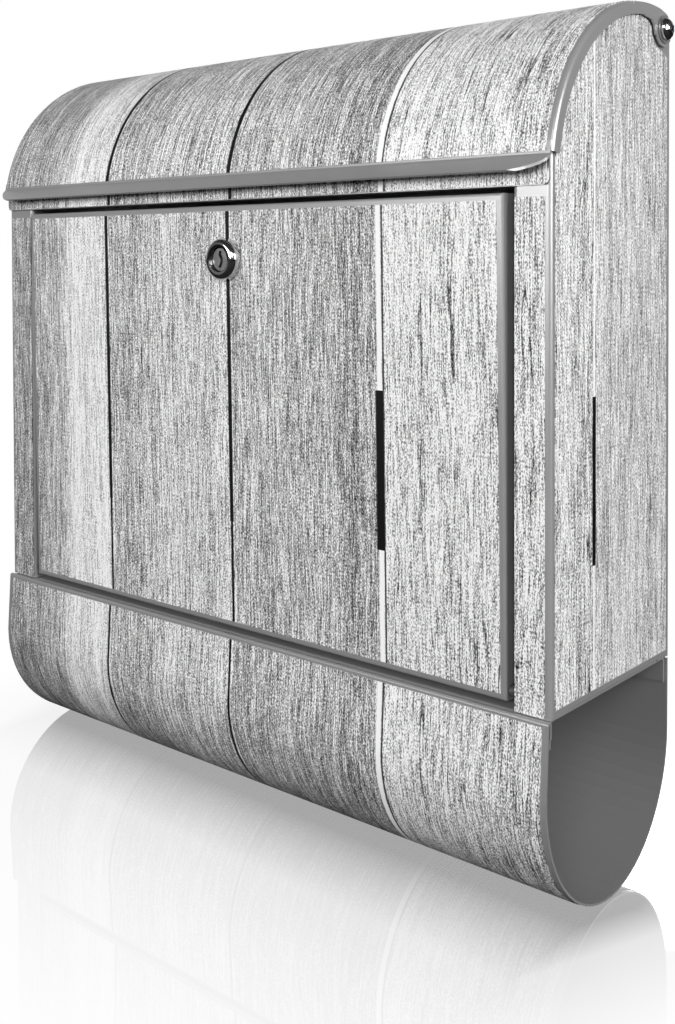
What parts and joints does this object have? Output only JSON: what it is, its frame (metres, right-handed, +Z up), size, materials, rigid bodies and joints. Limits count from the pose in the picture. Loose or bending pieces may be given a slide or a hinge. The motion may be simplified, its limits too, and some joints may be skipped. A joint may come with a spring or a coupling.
{
  "type": "wall mounted mailbox",
  "caption": "Sheet-metal wall mailbox with a rolled lid that lifts, a bottom-hinged front door with a cam lock, an open newspaper tray and a wooden plank print.",
  "frame": {"origin": "middle of the back panel's outer face, on the wall plane", "axes": "+X to the right seen from the front, +Y into the wall, +Z up"},
  "size_m": [0.3982, 0.1219, 0.4121],
  "materials": {
    "silver_coat": "satin silver powder coat",
    "printed_film": "satin film printed with weathered wooden planks",
    "chrome": "polished",
    "zinc": "bright zinc plate",
    "nylon": "moulded"
  },
  "bodies": {
    "body": {"back_panel": "silver_coat", "floor_panel": "silver_coat", "front_top_rail": "silver_coat", "newspaper_tray": "silver_coat", "side_panel_left": "silver_coat", "side_panel_right": "silver_coat", "film_front_left": "printed_film", "film_front_right": "printed_film", "film_side_left": "printed_film", "film_side_right": "printed_film", "film_top_rail": "printed_film", "film_tray": "printed_film", "lid_pivot_screw_left": "chrome", "lid_pivot_screw_right": "chrome", "door_hinge_pin_left": "chrome", "door_hinge_pin_right": "chrome", "lid_pivot_washer_left": "zinc", "lid_pivot_washer_right": "zinc", "lid_pivot_nut_left": "zinc", "lid_pivot_nut_right": "zinc", "tray_rivet_left": "zinc", "tray_rivet_middle": "zinc", "tray_rivet_right": "zinc", "lid_pivot_spacer_left": "nylon", "lid_pivot_spacer_right": "nylon", "door_hinge_spacer_left": "nylon", "door_hinge_spacer_right": "nylon"},
    "lid": {"lid": "silver_coat", "film_lid": "printed_film"},
    "door": {"door": "silver_coat", "film_door": "printed_film", "lock_body": "chrome", "lock_nut": "zinc"},
    "lock": {"lock_plug": "chrome", "lock_cam": "zinc", "cam_screw": "zinc"}
  },
  "joints": [
    {"name": "lid_hinge", "type": "hinge", "parent": "body", "child": "lid", "pos_m": [0, -0.01, 0.1545], "axis": [-1, 0, 0], "range_deg": [0, 95]},
    {"name": "door_hinge", "type": "hinge", "parent": "body", "child": "door", "pos_m": [0, -0.1075, -0.1427], "axis": [1, 0, 0], "range_deg": [0, 100]},
    {"name": "lock_turn", "type": "hinge", "parent": "door", "child": "lock", "pos_m": [0.002, -0.11445, 0.04531], "axis": [0, -0.9999, -0.0157], "range_deg": [0, 90]}
  ]
}
